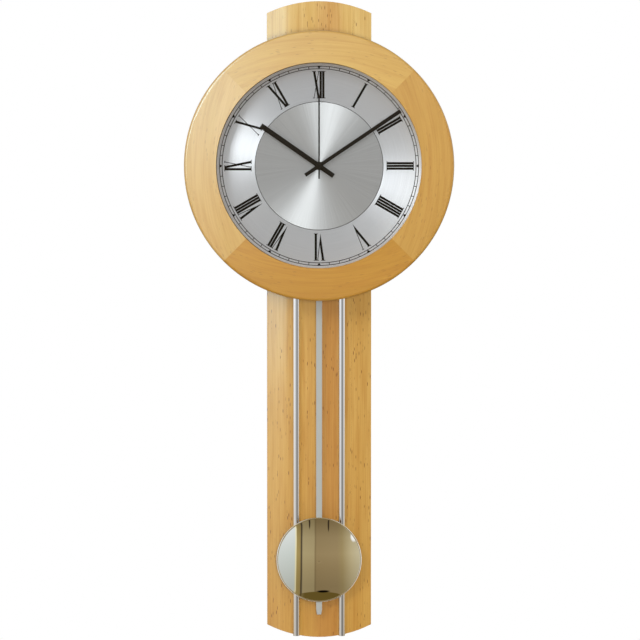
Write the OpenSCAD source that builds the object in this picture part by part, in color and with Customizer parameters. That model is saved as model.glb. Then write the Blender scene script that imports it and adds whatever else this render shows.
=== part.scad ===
// Pendulum wall clock set by radio: a round beech head on a bowed beech panel,
// with a chrome bob that swings in front of two chrome rods.
// X runs to the right as seen from the front, Z is up, and the wall is the plane Y = 0.
// The clock stands out from the wall along -Y, so a depth of 20 is the plane Y = -20.
// The origin is the centre of the round part of the hanger plate's keyhole, on the wall.

/* [Back panel] */
// Width of the bowed back panel
panel_w = 98.5; // [92:0.5:110]
// Height of the back panel
panel_h = 600; // [560:5:700]
// Height of the panel's top above the hanger hole
panel_above = 70; // [60:1:90]
// Thickness of the bent panel
panel_t = 8; // [6:0.5:9]
// How far the panel bows forward across its width
panel_bow = 9; // [7:0.5:11]
// How far the arc at each end of the panel stands out
panel_end_rise = 10.8; // [6:0.2:14]
// Depth of the panel's front at its middle
panel_front = 32; // [30:0.5:36]

/* [Battens and hanger] */
// Width of the two battens behind the panel
batten_w = 70; // [64:1:80]
// Height of the upper batten
upper_batten_h = 32; // [30:1:36]
// Height of the lower batten
lower_batten_h = 25; // [18:1:40]
// Distance of the lower batten's middle above the panel's bottom
lower_batten_up = 27.5; // [24:0.5:60]
// Thickness of the felt pads on the lower batten
pad_t = 2; // [1:0.5:4]
// Radius of the felt pads
pad_r = 7; // [5:0.5:10]
// Sideways distance of a felt pad from the middle
pad_x = 24; // [16:1:26]
// Radius of the keyhole's round part
keyhole_r = 4.5; // [4:0.1:5]
// Half the width of the keyhole's slot
keyhole_slot_r = 2.4; // [2:0.1:2.6]
// How far the keyhole's slot rises above the round part's centre
keyhole_rise = 10; // [8:0.5:11]
// Thickness of the steel hanger plate
hanger_t = 1.5; // [1:0.1:2]
// Width of the hanger plate
hanger_w = 56; // [50:1:60]
// Depth of the pocket for the head of the wall screw
pocket_depth = 8; // [7:0.5:10]

/* [Head] */
// Distance of the dial's centre below the hanger hole
head_drop = 85; // [80:1:95]
// Diameter of the wooden ring
ring_d = 250; // [225:1:275]
// Width of the ring's face, from its edge to its opening
ring_w = 30.4; // [28:0.2:34]
// Thickness of the ring's lip in front of the glass
ring_lip_t = 5; // [4:0.5:8]
// How much the ring's face falls from its opening to its edge
ring_fall = 3.2; // [1:0.2:6]
// Radius of the rounding on the ring's outer front edge
ring_round = 3; // [1:0.5:5]
// How far the ring reaches past the drum behind it
ring_overhang = 11; // [8:0.5:13]
// Thickness of the drum's wall
drum_wall = 13; // [11:0.5:14]
// Depth of the drum
drum_depth = 28; // [27:0.5:36]
// Thickness of the board that closes the back of the drum
board_t = 4; // [3:0.5:5]
// Gap between the crown of the panel and the back board
saddle_t = 4; // [3:0.5:8]
// Width of the saddle blocks between the panel and the back board
saddle_w = 80; // [76:1:84]
// Height of the saddle blocks
saddle_h = 26; // [24:1:27]
// Distance of the saddle blocks' middle inside the drum's edge
saddle_in = 29; // [28:0.5:30]
// Width of the access window in the panel and the back board
window_w = 66; // [62:1:68]
// Width of the slot for the pendulum in the drum's wall
slot_w = 26; // [20:1:34]

/* [Dial and glass] */
// Thickness of the dial board
dial_board_t = 3; // [2.5:0.5:4]
// Thickness of the aluminium dial
dial_t = 0.8; // [0.5:0.1:1.2]
// Thickness of the centre disc
centre_t = 0.3; // [0.2:0.1:0.5]
// Gap between the centre disc and the foot of the numerals
centre_gap = 3.5; // [1.5:0.1:8]
// Thickness of the print on the dial
print_t = 0.12; // [0.08:0.01:0.2]
// Depth of the space between the dial and the glass
glass_gap = 10.7; // [9.5:0.1:16]
// Thickness of the glass
glass_t = 2.5; // [2:0.5:3]
// Distance of the minute track inside the ring's opening
track_margin = 2.2; // [2:0.1:5]
// Width of the minute track
track_w = 2.4; // [1.6:0.1:3]
// Gap between the minute track and the numerals
numeral_gap = 2.1; // [1:0.1:4]
// Height of the numerals
numeral_h = 25.2; // [20:0.2:26]
// Width of a thick stroke
stroke = 2.1; // [1.5:0.1:2.2]
// Width of a thin stroke
hairline = 0.6; // [0.3:0.05:0.7]

/* [Hands] */
// How far the hour hand reaches past the foot of the numerals
hour_past = 2.9; // [-8:0.1:8]
// Length of the hour hand's tail
hour_tail = 16.4; // [10:0.2:24]
// Width of the hour hand at its tip
hour_w = 4.8; // [3.5:0.1:6]
// Angle of the hour hand, clockwise from the top
hour_angle = 304.7; // [0:0.1:359]
// How far the minute hand reaches past the inner line of the minute track
minute_past = 1; // [-8:0.1:1.4]
// Length of the minute hand's tail
minute_tail = 15.5; // [10:0.2:24]
// Width of the minute hand at its tip
minute_w = 3.5; // [2:0.1:5]
// Angle of the minute hand, clockwise from the top
minute_angle = 56; // [0:0.1:359]
// How far short of the minute track the second hand ends
second_short = 25; // [0:0.5:30]
// Length of the second hand's tail
second_tail = 12; // [8:0.2:24]
// Width of the second hand
second_w = 1.4; // [0.8:0.05:1.6]
// Thickness of the hands' sheet metal
hand_t = 0.5; // [0.3:0.1:0.6]

/* [Movement] */
// Width of the movement's case
case_w = 58; // [57:1:62]
// Depth of the movement's case
case_depth = 18; // [18:0.5:19]
// Thickness of the case's walls
case_wall = 1.4; // [1.2:0.1:1.5]
// Distance of the case's bottom below the hand shaft
case_down = 45; // [45:0.5:48]
// Distance of the case's top above the hand shaft
case_up = 59; // [59:0.5:62]
// Radius of the battery
battery_r = 7.1; // [6.9:0.05:7.2]
// Length of the battery with its nub
battery_len = 50.5; // [49:0.1:51]
// Travel of a push button
button_travel = 0.8; // [0.4:0.1:0.9]
// Radius of a push button's stem
button_r = 1.8; // [1.4:0.1:2.2]

/* [Pendulum and rods] */
// Distance of the pendulum's pivot below the dial's centre
pivot_drop = 26; // [25:0.5:27]
// Distance of the bob's centre below the dial's centre
bob_drop = 370; // [300:1:380]
// Diameter of the bob
bob_d = 80; // [70:1:90]
// Rise of the bob's dome
bob_dome = 10; // [6:0.5:14]
// Thickness of the bob's shell
bob_t = 0.8; // [0.6:0.1:1.2]
// Width of the pendulum strip
strip_w = 5.5; // [4:0.5:8]
// Thickness of the pendulum strip
strip_t = 1.2; // [0.8:0.1:1.4]
// How far the strip reaches below the bob
strip_below = 12; // [6:1:18]
// Diameter of the chrome rods
rod_d = 6; // [5:0.5:6.5]
// Sideways distance of a rod from the middle
rod_x = 21.4; // [18:0.1:26]
// Gap between a rod and the crown of the panel
rod_gap = 2; // [1.5:0.5:2.5]

/* [Hidden] */
$fn = 96;

// Glue line between curved pieces of wood
glue = 0.1;
// Gap round a shank, pin or bush that is pressed or screwed home
seat = 0.02;
// Radial clearance of a shaft that turns in a bore
running = 0.08;
// How far a cut runs past the face that it opens, and how deep a screw's channel is behind its head
past = 1;
channel = 20;

// Panel
panel_top = panel_above;
panel_bottom = panel_above - panel_h;
bend_r = (panel_w * panel_w / 4 + panel_bow * panel_bow) / (2 * panel_bow);
bend_d = panel_front - bend_r;
bend_back_r = bend_r - panel_t;
end_r = (panel_w * panel_w / 4 + panel_end_rise * panel_end_rise) / (2 * panel_end_rise);

// Depths, from the wall to the front
board_back = panel_front + saddle_t;
drum_back = board_back + board_t;
dial_board_back = drum_back + drum_depth;
dial_back = dial_board_back + dial_board_t;
dial_face = dial_back + dial_t;
centre_face = dial_face + centre_t;
glass_back = dial_face + glass_gap;
lip_back = glass_back + glass_t;
ring_front = lip_back + ring_lip_t;

// Radii of the head
ring_r = ring_d / 2;
opening_r = ring_r - ring_w;
drum_r = ring_r - ring_overhang;
drum_bore = drum_r - drum_wall;
screw_circle = drum_r - 4;
glass_rebate_r = opening_r + 5.1;
glass_r = glass_rebate_r - 0.3;
spacer_wall = 3;
dial_r = glass_rebate_r - 0.8;
board_rebate_r = screw_circle - 4;
dial_board_r = board_rebate_r - 0.3;
ring_slope = atan(ring_fall / (ring_r - opening_r));
ring_edge_d = ring_front - tan(ring_slope) * (ring_r - ring_round + ring_round * sin(ring_slope) - opening_r)
    - ring_round * cos(ring_slope);
opening_edge = 0.6;
// How far the end of the ring's face is tucked under the rounding that it runs into
tuck = 0.03;

// Print on the dial and the lengths of the hands
track_out = opening_r - track_margin;
track_in = track_out - track_w;
numeral_foot = track_in - numeral_gap - numeral_h;
centre_r = numeral_foot - centre_gap;
track_marker_half = 1.8;
hour_len = numeral_foot + hour_past;
minute_len = track_in + minute_past;
second_len = track_in - second_short;

// Hanger plate and its screws
hanger_low = keyhole_r + 4.5;
hanger_high = keyhole_rise + 7;
hanger_screw_x = hanger_w / 2 - 7;
hanger_screw_z = 4;
hanger_screw_len = 12;
small_shank_r = 1.5;
small_head_r = 3.2;
pocket_r = keyhole_r + 1;
upper_batten_low = -12;
lower_batten_z = panel_bottom + lower_batten_up;

// Window for the hands and the battery
window_low = 68;
window_high = 64;

// Saddles, and the screws through the panel into the back board
saddle_v = drum_r - saddle_in;
saddle_screw_x = 28;
saddle_screw_r = 2;
saddle_head_r = 4;
saddle_head_t = 2.2;

// Screws through the back board and the drum into the ring
head_screw_r = 1.75;
head_screw_head_r = 3.2;
head_screw_head_t = 2;
head_screw_grip = 12;
head_screw_tip = dial_board_back + head_screw_grip;
HEAD_SCREW_ANGLES = [for (a = [0:60:300]) a];

// Hand shaft: a bush, the hour pipe, the minute tube and the seconds arbor inside each other
arbor_r = 0.75;
tube_bore = arbor_r + running;
tube_r = 1.77;
pipe_bore = tube_r + running;
pipe_r = 2.7;
bush_bore = pipe_r + running;
bush_r = 3.4;
shaft_hole = bush_r + 0.2;
bush_front = centre_face + 0.9;
hour_hand_d = centre_face + 2.9;
minute_hand_d = hour_hand_d + hand_t + 1.8;
second_hand_d = minute_hand_d + hand_t + 1.5;
hand_boss = 1.4;
hour_boss_r = 3.85;
minute_boss_r = 3.1;
second_boss_r = 3.1;
second_boss_cap = 0.25;

// Movement, with its depths counted back from the dial board
case_front = dial_board_back;
case_back = case_front - case_depth;
case_split = case_back + 9;
front_wall = case_front - case_wall;
back_wall = case_back + case_wall;
case_half = case_w / 2;
inner_half = case_half - case_wall;
ear_high = 40;
ear_low = 35;
ear_half = 4;
ear_t = 2;
ear_reach = 7;
ear_hole = ear_reach / 2;
case_screw_r = 1.25;
case_screw_head_r = 2.4;
case_screw_head_t = 1.6;

// Gear train: teeth, modules and the planes that the wheels turn in
train_module = 0.4;
rotor_teeth = 8;
idler_teeth = 48;
idler_pinion_teeth = 10;
arbor_wheel_teeth = 50;
cannon_module = 0.45;
cannon_teeth = 14;
motion_teeth = 42;
hour_module = 0.42;
motion_pinion_teeth = 12;
hour_teeth = 48;
idler_centre = train_module * (idler_pinion_teeth + arbor_wheel_teeth) / 2;
rotor_centre = train_module * (rotor_teeth + idler_teeth) / 2;
motion_centre = cannon_module * (cannon_teeth + motion_teeth) / 2;
idler_angle = 200;
rotor_angle = 260;
wheel_t = 0.9;
thin_wheel_t = 0.8;
plate_t = 1;
hour_plane = front_wall - 1.2;
cannon_plane = front_wall - 3.1;
motion_plane = front_wall - 2.8;
minute_plane = front_wall - 4.4;
minute_idler_plane = front_wall - 5.8;
plate_plane = case_split + 0.2;
plate_high = 17;
plate_low = 25;
second_plane = case_split - 1.4;
second_idler_plane = case_split - 3;
fine_arbor_r = 0.5;
fine_bore = fine_arbor_r + 0.07;
motion_post_r = 0.93;
magnet_r = 3;
magnet_back = back_wall + 1.2;
magnet_t = 2.4;
minute_idler_at = [idler_centre * cos(idler_angle), idler_centre * sin(idler_angle)];
second_idler_at = [-minute_idler_at[0], minute_idler_at[1]];
minute_rotor_at = minute_idler_at + [rotor_centre * cos(rotor_angle), rotor_centre * sin(rotor_angle)];
second_rotor_at = [-minute_rotor_at[0], minute_rotor_at[1]];
plate_post_x = 24.5;
plate_post_high = 6;
plate_post_low = 22;
plate_post_at = [for (x = [-plate_post_x, plate_post_x], v = [plate_post_high, -plate_post_low]) [x, v]];
plate_post_r = 2.2;

// Motors, circuit board and antenna
stator_t = 1.2;
stator_back = back_wall + 1.8;
stator_half = 8.5;
core_half = 1.4;
core_drop = 11;
coil_r = 2.3;
coil_half = 6.5;
board_plane = back_wall + 3;
pcb_t = 1.2;
pcb_half = 26;
pcb_low = 12;
pcb_high = 40.8;
pcb_post_x = 24;
pcb_post_low = 15;
pcb_post_high = 38.5;
pcb_post_at = [for (x = [-pcb_post_x, pcb_post_x], v = [pcb_post_low, pcb_post_high]) [x, v]];
chip_x = 8;
chip_v = 17;
chip_w = 10;
chip_h = 8;
chip_t = 1.5;
crystal_x = -14;
crystal_v = 20;
crystal_r = 1.5;
crystal_h = 5;
antenna_r = 4;
antenna_v = 35.8;
antenna_d = front_wall - 5.6;
antenna_len = 50;
antenna_coil_r = 5.2;
antenna_coil_len = 18;

// Battery
battery_v = case_up - 9;
battery_d = back_wall + 0.5 + battery_r;
partition_v = battery_v - battery_r - 1.5;
partition_t = 1;
contact_t = 0.5;
contact_half = 5;

// Push buttons
button_v = 29;
button_x = 14;
button_out = 1.2;
button_flange_r = button_r + 0.8;
button_flange_t = 0.8;
button_flange_back = back_wall + 0.2;

// Pendulum, with its depths counted back from the movement's case
lever_t = 2.5;
lever_back = case_back - 5.5;
lever_front = lever_back + lever_t;
lever_boss_r = 3;
lever_boss_front = case_back - 0.6;
pin_r = 1;
pin_head_r = 2;
pin_head_t = 0.8;
pin_front = case_back + 3.5;
magnet_reach = 12;
magnet_drop = pivot_drop + magnet_reach;
lever_magnet_r = 4;
hook_reach = 34;
hook_drop = pivot_drop + hook_reach;
hook_r = 1.3;
hook_lip_t = 0.8;
hook_rise = 2.4;
strip_front = lever_back - 0.1;
strip_back = strip_front - strip_t;
hook_back = strip_back - 1.8;
strip_hole_r = hook_r + 0.2;
strip_top = 4;
strip_end = bob_drop + bob_d / 2 + strip_below;
bob_back_d = strip_front + 0.2;
bob_back_t = 0.8;
bob_bead_r = 0.9;
bob_bead_d = bob_back_d + bob_bead_r;
bob_dome_r = (bob_d * bob_d / 4 + bob_dome * bob_dome) / (2 * bob_dome);
bob_dome_d = bob_bead_d + bob_dome - bob_dome_r;
clip_half = 5;
clip_t = 0.6;
drive_coil_r = 5;
drive_coil_t = 3.2;

// Rods, their spacers and screws
rod_r = rod_d / 2;
rod_depth = panel_front + rod_gap + rod_r;
rod_top = -head_drop - drum_r + 0.5;
rod_bottom = panel_bottom + end_r - sqrt(end_r * end_r - rod_x * rod_x);
rod_screw_z = [rod_top - 5.5, rod_bottom + 12];
rod_spacer_r = 2.5;
rod_screw_r = 1.5;
rod_screw_head_r = 3;
rod_screw_head_t = 1.8;
// Depth of the bent panel's front and back at a distance x from the middle
function panel_front_at(x) = bend_d + sqrt(bend_r * bend_r - x * x);
function panel_back_at(x) = bend_d + sqrt(bend_back_r * bend_back_r - x * x);
saddle_head_seat = panel_back_at(saddle_screw_x - saddle_head_r) + 0.6 + saddle_head_t;
rod_head_seat = panel_back_at(rod_x - rod_screw_head_r) + 0.4 + rod_screw_head_t;
spacer_seat = panel_front_at(rod_x + rod_spacer_r) - 0.2;

// Turns a drawing seen from the front, with its third axis as the depth from the wall
module from_wall() {
    rotate([90, 0, 0]) children();
}

// The same, about the dial's centre
module at_head() {
    from_wall() translate([0, -head_drop, 0]) children();
}

module disc(r, d0, d1) {
    translate([0, 0, d0]) cylinder(r = r, h = d1 - d0);
}

module tube(r, bore, d0, d1) {
    difference() {
        disc(r, d0, d1);
        disc(bore, d0 - past, d1 + past);
    }
}

// A block from the lower left to the upper right, between two depths
module block(low, high, d0, d1) {
    translate([low[0], low[1], d0]) cube([high[0] - low[0], high[1] - low[1], d1 - d0]);
}

// A cylinder about the axis of the panel's bend
module bend_cylinder(r, z0, z1) {
    translate([0, -bend_d, z0]) cylinder(r = r, h = z1 - z0, $fn = 360);
}

// A screw that points to the front, with its head behind the depth where it seats
module screw(shank_r, head_r, head_t, seat_d, tip_d, gap = 0) {
    disc(shank_r + gap, seat_d - head_t / 2, tip_d + gap);
    disc(head_r + gap, seat_d - head_t - (gap > 0 ? channel : 0), seat_d + gap);
}

// A driver's cross in the head of a screw
module cross(size, d0, depth) {
    for (turn = [0, 90])
        rotate([0, 0, turn]) block([-size, -size / 5], [size, size / 5], d0 - past, d0 + depth);
}

// A spur gear with straight-sided teeth, one of them at the angle given
module gear(teeth, mod, t, angle) {
    pitch = 360 / teeth;
    root = mod * (teeth / 2 - 1.15);
    tip = mod * (teeth / 2 + 0.75);
    linear_extrude(t)
        polygon([for (i = [0:teeth - 1]) for (p = [[root, -0.3], [tip, -0.1], [tip, 0.1], [root, 0.3]])
            [p[0] * cos(angle + (i + p[1]) * pitch), p[0] * sin(angle + (i + p[1]) * pitch)]]);
}

// Angle of a tooth that puts a gap towards the neighbour at the angle given
function gap_towards(angle, teeth) = angle + 180 / teeth;

module panel_outline() {
    intersection() {
        translate([-panel_w / 2, panel_bottom]) square([panel_w, panel_h]);
        union() {
            translate([-panel_w / 2, panel_bottom + panel_end_rise])
                square([panel_w, panel_h - 2 * panel_end_rise]);
            translate([0, panel_top - end_r]) circle(end_r, $fn = 360);
            translate([0, panel_bottom + end_r]) circle(end_r, $fn = 360);
        }
    }
}

module window_cut(d0, d1) {
    at_head() block([-window_w / 2, -window_low], [window_w / 2, window_high], d0, d1);
}

module at_saddle_screws() {
    for (x = [-saddle_screw_x, saddle_screw_x], v = [-saddle_v, saddle_v])
        at_head() translate([x, v, 0]) children();
}

module at_rod_screws() {
    for (x = [-rod_x, rod_x], z = rod_screw_z)
        from_wall() translate([x, z, 0]) children();
}

module at_head_screws() {
    for (a = HEAD_SCREW_ANGLES)
        at_head() rotate([0, 0, a]) translate([screw_circle, 0, 0]) children();
}

module saddle_screw(gap = 0) {
    screw(saddle_screw_r, saddle_head_r, saddle_head_t, saddle_head_seat, drum_back - 0.6, gap);
}

module rod_screw(gap = 0) {
    screw(rod_screw_r, rod_screw_head_r, rod_screw_head_t, rod_head_seat, rod_depth + 1, gap);
}

module head_screw(gap = 0) {
    screw(head_screw_r, head_screw_head_r, head_screw_head_t, board_back + head_screw_head_t,
        head_screw_tip, gap);
}

module back_panel() {
    color([0.87, 0.72, 0.47])
    difference() {
        intersection() {
            bend_cylinder(bend_r, panel_bottom - past, panel_top + past);
            from_wall() linear_extrude(panel_front + past) panel_outline();
        }
        bend_cylinder(bend_back_r, panel_bottom - 2 * past, panel_top + 2 * past);
        window_cut(-past, panel_front + past);
        at_saddle_screws() saddle_screw(seat);
        at_rod_screws() rod_screw(seat);
        at_rod_screws() disc(rod_spacer_r + 0.1, spacer_seat, panel_front + past);
    }
}

module batten(low, high, d0) {
    intersection() {
        from_wall() block([-batten_w / 2, low], [batten_w / 2, high], d0, panel_front);
        bend_cylinder(bend_back_r - glue, low - past, high + past);
    }
}

module hanger_screw(gap = 0) {
    cone_t = small_head_r - small_shank_r;
    cylinder(r1 = small_head_r + gap, r2 = small_shank_r + gap, h = cone_t);
    disc(small_shank_r + gap, 0.5, hanger_screw_len + gap);
    if (gap > 0) disc(small_head_r + gap, -past, 0);
}

module at_hanger_screws() {
    for (x = [-hanger_screw_x, hanger_screw_x])
        from_wall() translate([x, hanger_screw_z, 0]) children();
}

module upper_batten() {
    hanger_room = 0.2;
    color([0.8, 0.64, 0.4])
    difference() {
        batten(upper_batten_low, upper_batten_low + upper_batten_h, 0);
        from_wall() {
            block([-hanger_w / 2 - hanger_room, -hanger_low - hanger_room],
                [hanger_w / 2 + hanger_room, hanger_high + hanger_room], -past, hanger_t);
            block([-pocket_r, 0], [pocket_r, keyhole_rise], 0, pocket_depth);
            disc(pocket_r, 0, pocket_depth);
            translate([0, keyhole_rise, 0]) disc(pocket_r, 0, pocket_depth);
        }
        at_hanger_screws() hanger_screw(seat);
    }
}

module lower_batten() {
    color([0.8, 0.64, 0.4])
        batten(lower_batten_z - lower_batten_h / 2, lower_batten_z + lower_batten_h / 2, pad_t);
}

module wall_pads() {
    color([0.35, 0.3, 0.26])
    for (x = [-pad_x, pad_x])
        from_wall() translate([x, lower_batten_z, 0]) disc(pad_r, 0, pad_t);
}

module hanger_plate() {
    color([0.75, 0.75, 0.76])
    difference() {
        from_wall() block([-hanger_w / 2, -hanger_low], [hanger_w / 2, hanger_high], 0, hanger_t);
        from_wall() {
            disc(keyhole_r, -past, hanger_t + past);
            block([-keyhole_slot_r, 0], [keyhole_slot_r, keyhole_rise], -past, hanger_t + past);
            translate([0, keyhole_rise, 0]) disc(keyhole_slot_r, -past, hanger_t + past);
        }
        at_hanger_screws() hanger_screw(0.06);
    }
}

module hanger_screws() {
    color([0.8, 0.75, 0.6])
    difference() {
        at_hanger_screws() hanger_screw();
        at_hanger_screws() cross(2, 0, 0.8);
    }
}

module saddle(v) {
    difference() {
        at_head() block([-saddle_w / 2, v - saddle_h / 2], [saddle_w / 2, v + saddle_h / 2],
            panel_front_at(saddle_w / 2) - past, board_back);
        bend_cylinder(bend_r + glue, v - head_drop - saddle_h, v - head_drop + saddle_h);
        at_saddle_screws() disc(saddle_screw_r + seat, 0, board_back + past);
    }
}

module upper_saddle() {
    color([0.76, 0.6, 0.38]) saddle(saddle_v);
}

module lower_saddle() {
    color([0.76, 0.6, 0.38]) saddle(-saddle_v);
}

module saddle_screws() {
    color([0.8, 0.75, 0.6])
    difference() {
        at_saddle_screws() saddle_screw();
        at_saddle_screws() cross(2.4, saddle_head_seat - saddle_head_t, 1.2);
    }
}

module back_board() {
    color([0.72, 0.58, 0.38])
    difference() {
        at_head() disc(drum_r, board_back, drum_back);
        window_cut(board_back - past, drum_back + past);
        at_saddle_screws() saddle_screw(seat);
        at_head_screws() head_screw(seat);
    }
}

module head_drum() {
    slot_past_case = 8;
    color([0.83, 0.68, 0.44])
    difference() {
        at_head() tube(drum_r, drum_bore, drum_back, dial_board_back);
        at_head() block([-slot_w / 2, -drum_r - past], [slot_w / 2, -drum_bore / 2],
            drum_back - past, case_back + slot_past_case);
        at_head_screws() head_screw(seat);
    }
}

module head_screws() {
    color([0.8, 0.75, 0.6])
    difference() {
        at_head_screws() head_screw();
        at_head_screws() cross(2, board_back, 1.1);
    }
}

module ring_profile() {
    tangent_r = ring_r - ring_round + ring_round * sin(ring_slope);
    tangent_d = ring_edge_d + ring_round * cos(ring_slope) - tuck;
    polygon([
        [opening_r, lip_back],
        [opening_r, ring_front - opening_edge],
        [opening_r + opening_edge, ring_front - opening_edge * tan(ring_slope)],
        [tangent_r, tangent_d],
        [ring_r - ring_round, ring_edge_d],
        [ring_r, ring_edge_d],
        [ring_r, dial_board_back],
        [board_rebate_r, dial_board_back],
        [board_rebate_r, dial_back],
        [glass_rebate_r, dial_back],
        [glass_rebate_r, lip_back]]);
}

// A quarter of the rounding on the ring's outer front edge
module ring_rounding() {
    rotate_extrude(angle = 90, $fn = 360) translate([ring_r - ring_round, ring_edge_d]) circle(ring_round);
}

// A quarter of the ring, from the angle given, with its ends glued to the next quarters
module ring_segment(from_angle) {
    color([0.85, 0.68, 0.42])
    difference() {
        at_head() rotate([0, 0, from_angle]) union() {
            rotate_extrude(angle = 90, $fn = 360) ring_profile();
            ring_rounding();
        }
        at_head_screws() head_screw(seat);
    }
}

module ring_segment_top() {
    ring_segment(45);
}

module ring_segment_right() {
    ring_segment(-45);
}

module ring_segment_bottom() {
    ring_segment(225);
}

module ring_segment_left() {
    ring_segment(135);
}

module glass() {
    color([0.85, 0.92, 0.93, 0.25]) at_head() disc(glass_r, glass_back, lip_back);
}

module glass_spacer() {
    color([0.8, 0.8, 0.8]) at_head() tube(glass_r, glass_r - spacer_wall, dial_face, glass_back);
}

module at_ears() {
    for (side = [-1, 1], v = [ear_high, -ear_low])
        translate([side * (case_half + ear_hole), v, 0]) children();
}

module case_screw(gap = 0) {
    tip_cover = 0.5;
    screw(case_screw_r, case_screw_head_r, case_screw_head_t, case_front - ear_t,
        case_front + dial_board_t - tip_cover, gap);
}

module dial_board() {
    color([0.5, 0.42, 0.32])
    at_head() difference() {
        tube(dial_board_r, shaft_hole, dial_board_back, dial_back);
        at_ears() case_screw(seat);
    }
}

module dial_plate() {
    color([0.78, 0.79, 0.79]) at_head() tube(dial_r, shaft_hole, dial_back, dial_face);
}

module dial_centre_disc() {
    color([0.84, 0.85, 0.86]) at_head() tube(centre_r, shaft_hole, dial_face, centre_face);
}

// The room that a letter takes in a numeral. A V and an X spread their strokes less where the
// numeral has more letters.
stem_step = 2.5;
letter_side = 0.5;
serif = 0.9;
LETTER_SPREADS = [6.5, 5.1, 4.4, 4.4];
function letter_step(c, spread) = c == "I" ? stem_step : spread + 2 * letter_side;
function letters_width(letters, count, spread) =
    count == 0 ? 0 : letter_step(letters[count - 1], spread) + letters_width(letters, count - 1, spread);

// A straight stroke from its foot to its head, with level ends
module leaning_stroke(foot_x, head_x, w) {
    polygon([[foot_x - w / 2, 0], [foot_x + w / 2, 0],
        [head_x + w / 2, numeral_h], [head_x - w / 2, numeral_h]]);
}

module serif_line(x, y, w) {
    translate([x - w / 2, y]) square([w, hairline]);
}

// A thick and a thin stroke whose outer sides run to one point at the foot
module pointed_strokes(spread) {
    half = (stroke + hairline) / 2;
    meet = (spread - half) / (spread + half);
    polygon([[-stroke / 2, numeral_h], [stroke / 2, numeral_h],
        [stroke / 2 + (spread + stroke) / 2 * meet, numeral_h * (1 - meet)],
        [spread - hairline / 2, numeral_h], [spread + hairline / 2, numeral_h], [spread / 2, 0]]);
}

module letter(c, spread) {
    top = numeral_h - hairline;
    thick_serif = stroke + 2 * serif;
    thin_serif = 2.2 * serif;
    if (c == "I") {
        leaning_stroke(stem_step / 2, stem_step / 2, stroke);
        for (y = [0, top]) serif_line(stem_step / 2, y, thick_serif);
    }
    if (c == "V")
        translate([letter_side, 0]) {
            pointed_strokes(spread);
            serif_line(0, top, thick_serif);
            serif_line(spread, top, thin_serif);
        }
    if (c == "X")
        translate([letter_side, 0]) {
            leaning_stroke(spread, 0, stroke);
            leaning_stroke(0, spread, hairline);
            serif_line(0, top, thick_serif);
            serif_line(spread, 0, thick_serif);
            serif_line(spread, top, thin_serif);
            serif_line(0, 0, thin_serif);
        }
}

module numeral(letters) {
    count = len(letters);
    spread = LETTER_SPREADS[count - 1];
    for (i = [0:count - 1])
        translate([letters_width(letters, i, spread) - letters_width(letters, count, spread) / 2, 0])
            letter(letters[i], spread);
}

module numerals() {
    hours = ["XII", "I", "II", "III", "IIII", "V", "VI", "VII", "VIII", "IX", "X", "XI"];
    color([0.05, 0.05, 0.05])
    at_head() translate([0, 0, dial_face]) linear_extrude(print_t)
        for (i = [0:11]) rotate(-30 * i) translate([0, numeral_foot]) numeral(hours[i]);
}

module ring_line(r, w = hairline) {
    difference() {
        circle(r + w / 2, $fn = 360);
        circle(r - w / 2, $fn = 360);
    }
}

module minute_track() {
    color([0.08, 0.08, 0.08])
    at_head() translate([0, 0, dial_face]) linear_extrude(print_t) {
        ring_line(track_in);
        ring_line(track_out);
        for (i = [0:59])
            rotate(6 * i) translate([-hairline / 2, track_in]) square([hairline, track_out - track_in]);
        for (i = [0:11])
            rotate(30 * i)
                polygon([[0, track_in], [track_marker_half, track_out], [-track_marker_half, track_out]]);
        ring_line(centre_r + hairline / 2, 0.75 * hairline);
    }
}

module movement_case() {
    cradle_x = 20;
    cradle_half = 1.5;
    color([0.16, 0.16, 0.17])
    at_head() difference() {
        union() {
            difference() {
                block([-case_half, -case_down], [case_half, case_up], case_split, case_front);
                block([-inner_half, case_wall - case_down], [inner_half, case_up - case_wall],
                    case_split - past, front_wall);
            }
            for (side = [0, 180], v = [ear_high, -ear_low])
                rotate([0, side, 0])
                    block([case_half - past, v - ear_half], [case_half + ear_reach, v + ear_half],
                        side == 0 ? case_front - ear_t : -case_front,
                        side == 0 ? case_front : ear_t - case_front);
            block([-inner_half - past / 2, partition_v], [inner_half + past / 2, partition_v + partition_t],
                case_split, case_front - past / 2);
            for (p = plate_post_at)
                translate(p) disc(plate_post_r, plate_plane + plate_t, case_front - past / 2);
            for (x = [-cradle_x, cradle_x])
                block([x - cradle_half, antenna_v - 5], [x + cradle_half, partition_v + past / 2],
                    antenna_d + 1, case_front - past / 2);
        }
        disc(bush_r + seat, front_wall - past, case_front + past);
        translate(minute_idler_at) disc(fine_bore, front_wall - past, front_wall + 0.8);
        translate([0, antenna_v, antenna_d]) rotate([0, 90, 0])
            cylinder(r = antenna_r + glue, h = antenna_len, center = true);
        at_ears() case_screw(seat);
    }
}

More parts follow.
